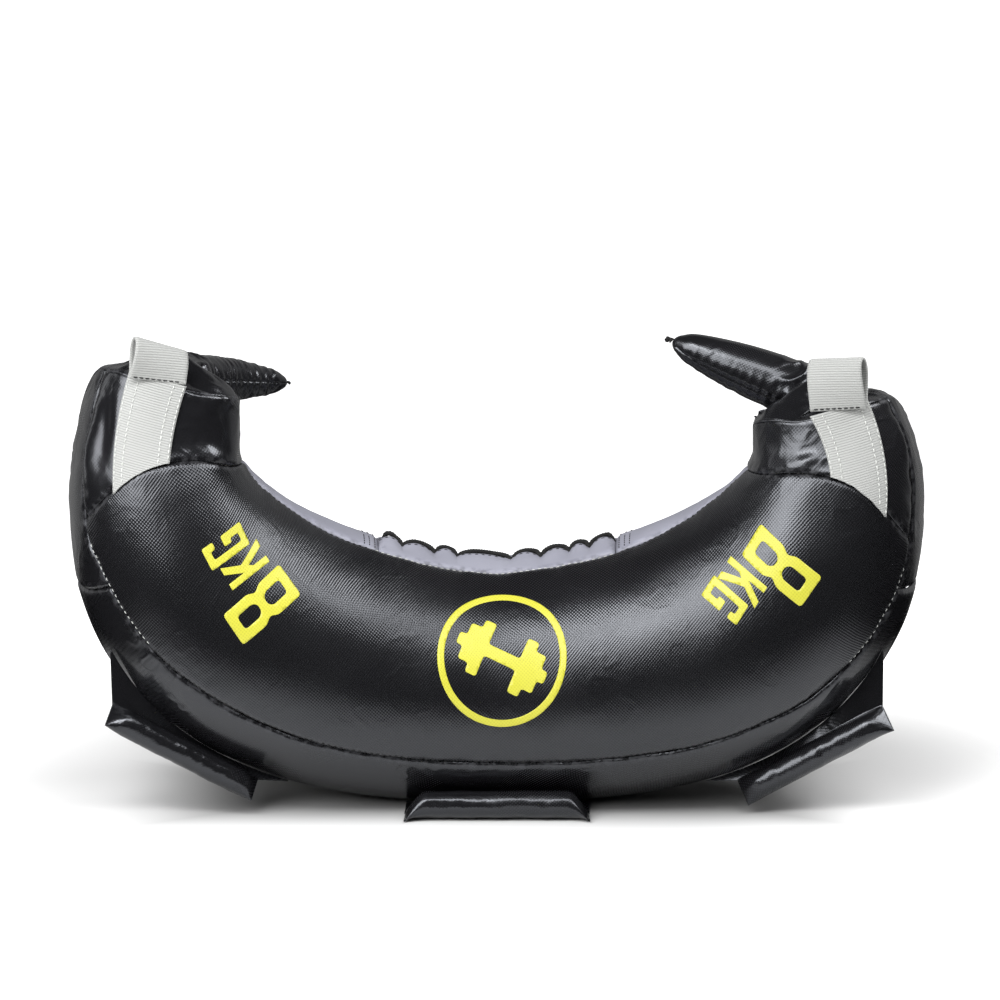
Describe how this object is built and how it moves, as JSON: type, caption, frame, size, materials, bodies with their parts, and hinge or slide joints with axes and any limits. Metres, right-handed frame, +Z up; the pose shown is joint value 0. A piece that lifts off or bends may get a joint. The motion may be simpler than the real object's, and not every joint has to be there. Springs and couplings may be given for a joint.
{
  "type": "bulgarian bag",
  "caption": "Crescent-shaped sand-filled training bag of coated fabric with folding horn grips, webbing hand loops and stuffed outer grips.",
  "frame": {"origin": "middle of the flat patch that the bag stands on, on the outer curve's lowest point", "axes": "+X along the crescent from its left end to its right end, -Y towards the printed front, +Z up through the neck opening"},
  "size_m": [0.5579, 0.1806, 0.3173],
  "materials": {
    "coated_black": "semi-gloss PVC-coated woven fabric",
    "neck_grey": "soft matt synthetic leather",
    "webbing_grey": "ribbed polyester webbing",
    "cord_black": "braided cord",
    "sack_cloth": "plain cloth sack filled with sand",
    "stuffing_white": "packed fibre stuffing",
    "yellow_print": "screen print",
    "white_thread": "sewing thread"
  },
  "bodies": {
    "bag": {"front_panel": "coated_black", "back_panel": "coated_black", "bottom_gusset": "coated_black", "left_gusset": "coated_black", "right_gusset": "coated_black", "left_end_front_panel": "coated_black", "left_end_back_panel": "coated_black", "right_end_front_panel": "coated_black", "right_end_back_panel": "coated_black", "left_neck_panel": "neck_grey", "right_neck_panel": "neck_grey", "front_closure_flap": "neck_grey", "back_closure_flap": "neck_grey", "closure_lace": "cord_black", "centre_sand_bag": "sack_cloth", "left_sand_bag": "sack_cloth", "right_sand_bag": "sack_cloth", "left_end_stuffing": "stuffing_white", "right_end_stuffing": "stuffing_white", "left_shoulder_cap": "coated_black", "right_shoulder_cap": "coated_black", "left_front_strap": "webbing_grey", "left_back_strap": "webbing_grey", "right_front_strap": "webbing_grey", "right_back_strap": "webbing_grey"},
    "left_horn": {"left_horn_sleeve": "coated_black", "left_horn_stuffing": "stuffing_white", "left_horn_tie": "cord_black"},
    "right_horn": {"right_horn_sleeve": "coated_black", "right_horn_stuffing": "stuffing_white", "right_horn_tie": "cord_black"},
    "left_loop": {"left_hand_loop": "webbing_grey"},
    "right_loop": {"right_hand_loop": "webbing_grey"},
    "left_grip": {"left_grip_sleeve": "coated_black", "left_grip_stuffing": "stuffing_white"},
    "centre_grip": {"centre_grip_sleeve": "coated_black", "centre_grip_stuffing": "stuffing_white"},
    "right_grip": {"right_grip_sleeve": "coated_black", "right_grip_stuffing": "stuffing_white"}
  },
  "joints": [
    {"name": "left_horn_fold", "type": "hinge", "parent": "bag", "child": "left_horn", "pos_m": [-0.20686, -0.01762, 0.2815], "axis": [0.8903, -0.4553, 0], "range_deg": [-3, 65]},
    {"name": "right_horn_fold", "type": "hinge", "parent": "bag", "child": "right_horn", "pos_m": [0.20686, -0.01762, 0.2705], "axis": [0.2676, 0.9635, 0], "range_deg": [-3, 65]},
    {"name": "left_loop_tilt", "type": "hinge", "parent": "bag", "child": "left_loop", "pos_m": [-0.21563, -0.07704, 0.28726], "axis": [0.9529, 0.2693, -0.1392], "range_deg": [-5, 70], "stiffness_Nm_per_rad": 0.01},
    {"name": "right_loop_tilt", "type": "hinge", "parent": "bag", "child": "right_loop", "pos_m": [0.21515, -0.07924, 0.26865], "axis": [0.9586, -0.2711, 0.0872], "range_deg": [-5, 70], "stiffness_Nm_per_rad": 0.01},
    {"name": "left_grip_swing", "type": "hinge", "parent": "bag", "child": "left_grip", "pos_m": [-0.20139, -0.04768, 0.05205], "axis": [0.8456, 0.1712, -0.5056], "range_deg": [-4, 50]},
    {"name": "centre_grip_swing", "type": "hinge", "parent": "bag", "child": "centre_grip", "pos_m": [0, -0.027, 0.00165], "axis": [-1, 0, 0], "range_deg": [-120, 0]},
    {"name": "right_grip_swing", "type": "hinge", "parent": "bag", "child": "right_grip", "pos_m": [0.20139, -0.04768, 0.05205], "axis": [0.8456, -0.1712, 0.5056], "range_deg": [-4, 40]}
  ]
}
